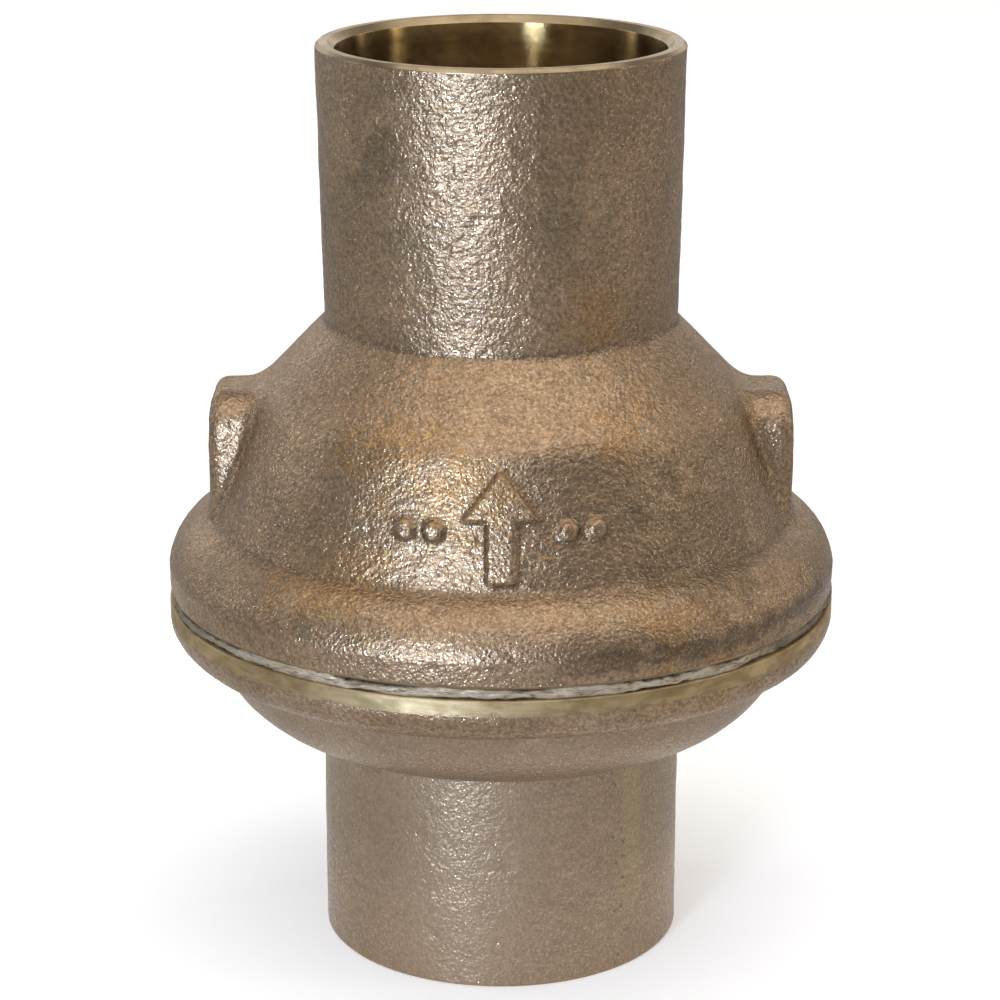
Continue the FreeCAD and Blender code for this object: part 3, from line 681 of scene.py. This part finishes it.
def seam_bead():
    """A squeezed-out bead that is torn, lifts in flakes and is missing here and there."""
    columns, rows = 1500, 20
    turn = np.arange(columns) * 2 * math.pi / columns
    rim = np.stack([41.8 * np.cos(turn), 41.8 * np.sin(turn), np.full(columns, 47.3)], -1)
    torn = lattice(rim, 7.0, 31) + 0.6 * lattice(rim, 2.6, 32) + 0.25 * lattice(rim, 0.9, 33)
    reach = 42.72 + 0.34 * np.clip(torn + 0.1, -2.2, 0.8)
    high = 48.10 - 0.50 * np.clip(1.3 * lattice(rim, 5.1, 34) + 0.6 * lattice(rim, 1.1, 35), -0.6, 1)
    low = 46.60 + 0.32 * np.clip(1.3 * lattice(rim, 4.6, 36) + 0.6 * lattice(rim, 1.0, 37) - 0.2, -0.4, 1)
    around = np.arange(rows) * 2 * math.pi / rows
    across = np.sign(np.cos(around)) * np.abs(np.cos(around)) ** 0.6
    up = np.sign(np.sin(around)) * np.abs(np.sin(around)) ** 0.6
    inner = 40.3
    radius = (reach + inner) / 2 + across[:, None] * (reach - inner) / 2
    height = (high + low) / 2 + up[:, None] * (high - low) / 2
    grid = np.stack([radius * np.cos(turn), radius * np.sin(turn), height], -1)
    crumple = lattice(grid.reshape(-1, 3), 0.7, 38).reshape(rows, columns)
    outward = np.stack([np.cos(turn), np.sin(turn), np.zeros(columns)], -1)
    grid += outward * (0.05 * crumple * (across[:, None] > 0))[..., None]
    return lofted("seam_sealant", grid, np.zeros(rows, int), [SEALANT], 70)


bead = seam_bead()
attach(bead, "shell")
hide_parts("seam_bead")


# ---------------------------------------------------------------- spring

def coil_spring():
    """Compression spring with closed end turns, ground flat."""
    turns, per_turn, section = 9.0, 60, 16
    steps = int(turns * per_turn)
    wire, mean, foot, top = 0.8, 8.8, SPRING_FOOT, SPRING_TOP
    share = np.linspace(0, turns, steps + 1)
    pitch = np.clip(np.minimum(share, turns - share) - 0.55, 0, 1)
    pitch = pitch * pitch * (3 - 2 * pitch)
    rise = np.concatenate([[0], np.cumsum((pitch[1:] + pitch[:-1]) / 2)])
    closed = 1.62 / per_turn  # rise of one step in a closed turn
    low, high = foot + 0.35, top - 0.35
    open_rise = (high - low - closed * steps) / rise[-1]
    height = low + closed * np.arange(steps + 1) + open_rise * rise
    turn = share * 2 * math.pi
    around = np.arange(section) * 2 * math.pi / section
    radius = mean + wire * np.cos(around)[None]
    grid = np.stack([radius * np.cos(turn)[:, None], radius * np.sin(turn)[:, None],
                     np.clip(height[:, None] + wire * np.sin(around)[None], foot, top)], -1)
    rows = steps + 1
    vertices = grid.reshape(-1, 3) * MM
    faces = [(i * section + j, i * section + (j + 1) % section, (i + 1) * section + (j + 1) % section,
              (i + 1) * section + j) for i in range(rows - 1) for j in range(section)]
    faces.append(tuple(range(section))[::-1])
    faces.append(tuple((rows - 1) * section + j for j in range(section)))
    mesh = bpy.data.meshes.new("coil_spring")
    mesh.from_pydata(vertices.tolist(), [], faces)
    mesh.update()
    mesh.validate()
    mesh.shade_smooth()
    mesh.set_sharp_from_angle(angle=math.radians(50))
    mesh.materials.append(STEEL)
    piece = bpy.data.objects.new("coil_spring", mesh)
    bpy.context.scene.collection.objects.link(piece)
    return piece


spring = coil_spring()
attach(spring, "shell")
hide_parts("spring")
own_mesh(spring)


# ---------------------------------------------------------------- carried-over nodes

FINISHES = {
    "seat_ring": TRIM, "stem_guide": TRIM, "disc_washer": TRIM, "disc_holder": TRIM,
    "lower_bush": BUSH, "upper_bush": BUSH, "seat_disc": DISC, "body_gasket": GASKET,
    "stem": STEEL, "lock_washer": STEEL, "disc_nut": STEEL, "thrust_washer": STEEL, "retaining_clip": STEEL,
}
for node, finish in FINISHES.items():
    for slot in frame["nodes"][node].material_slots:
        slot.material = finish


# ---------------------------------------------------------------- stage, light and camera

def light(name, at, aim, size, power, colour):
    """An area light of a size in metres and a power in watts, turned to its aim."""
    lamp = bpy.data.lights.new(name, "AREA")
    lamp.shape = "RECTANGLE"
    lamp.size, lamp.size_y = size
    lamp.energy = power
    lamp.color = colour
    made = bpy.data.objects.new(name, lamp)
    made.location = at
    made.rotation_mode = "QUATERNION"
    made.rotation_quaternion = (Vector(aim) - Vector(at)).to_track_quat("-Z", "Y")
    bpy.context.scene.collection.objects.link(made)


def floor():
    """A pale floor. What the metal mirrors of it is darker away from the valve than what the camera sees."""
    corners = [(-3, -3, 0), (3, -3, 0), (3, 3, 0), (-3, 3, 0)]
    mesh = bpy.data.meshes.new("floor")
    mesh.from_pydata(corners, [], [(0, 1, 2, 3)])
    n = Nodes("pale_floor")
    seen = n.add("ShaderNodeLightPath").outputs["Is Camera Ray"]
    lit = n.mix(n.spread(n.radius(), 0.030, 0.054), (1.0, 0.975, 0.95), (0.47, 0.46, 0.45))
    lit = n.mix(n.spread(n.radius(), 0.11, 0.27), lit, (0.20, 0.195, 0.19))
    n.set(Base_Color=n.mix(seen, lit, (0.93, 0.945, 0.97)), Roughness=0.9, Specular_IOR_Level=0.1,
          Emission_Color=(1.0, 1.0, 1.0), Emission_Strength=n.spread(seen, 0, 1, 0.20, 0.31))
    mesh.materials.append(n.material)
    made = bpy.data.objects.new("floor", mesh)
    bpy.context.scene.collection.objects.link(made)


def world():
    """White to the camera, and a dim studio to the metal."""
    backdrop = bpy.data.worlds.new("studio")
    backdrop.use_nodes = True
    tree = backdrop.node_tree
    tree.nodes["Background"].inputs["Color"].default_value = (0.27, 0.262, 0.255, 1)
    white = tree.nodes.new("ShaderNodeBackground")
    white.inputs["Color"].default_value = (1, 1, 1, 1)
    white.inputs["Strength"].default_value = 1.0
    path = tree.nodes.new("ShaderNodeLightPath")
    blend = tree.nodes.new("ShaderNodeMixShader")
    tree.links.new(path.outputs["Is Camera Ray"], blend.inputs[0])
    tree.links.new(tree.nodes["Background"].outputs[0], blend.inputs[1])
    tree.links.new(white.outputs[0], blend.inputs[2])
    tree.links.new(blend.outputs[0], tree.nodes["World Output"].inputs["Surface"])
    bpy.context.scene.world = backdrop


floor()
world()
light("front_left_box", (-0.42, -0.95, 0.125), (0, 0, 0.06), (0.24, 0.21), 7.0, (0.75, 0.97, 1.36))
light("front_left_strip", (-0.40, -0.90, 0.50), (0, 0, 0.11), (0.03, 0.6), 1.0, (0.95, 1.0, 1.05))
light("overhead_box", (0.05, -0.20, 1.0), (0, 0, 0.06), (1.7, 1.3), 9.5, (1.0, 0.93, 0.86))
light("back_box", (0.0, 1.2, 0.45), (0, 0, 0.06), (1.8, 0.5), 2.5, (1.0, 0.90, 0.78))
light("right_strip", (0.98, -0.16, 0.40), (0, 0, 0.06), (0.12, 0.7), 1.0, (1.0, 0.93, 0.84))
light("right_back_strip", (0.88, 0.47, 0.40), (0, 0, 0.06), (0.12, 0.7), 0.8, (1.0, 0.93, 0.84))
light("left_strip", (-0.95, 0.30, 0.40), (0, 0, 0.06), (0.12, 0.7), 1.0, (0.94, 0.97, 1.02))
light("left_back_strip", (-0.60, 0.80, 0.40), (0, 0, 0.06), (0.12, 0.7), 0.35, (0.94, 0.97, 1.02))

camera = bpy.data.objects.new("camera", bpy.data.cameras.new("camera"))
camera.data.sensor_width = 36.0
camera.data.lens = 110.98
camera.data.clip_start = 0.01
camera.location = (-0.00013, -0.38179, 0.17604)
camera.rotation_euler = (math.radians(90 - 17.161), 0, 0)
bpy.context.scene.collection.objects.link(camera)
bpy.context.scene.camera = camera
bpy.context.scene.view_settings.view_transform = "Standard"
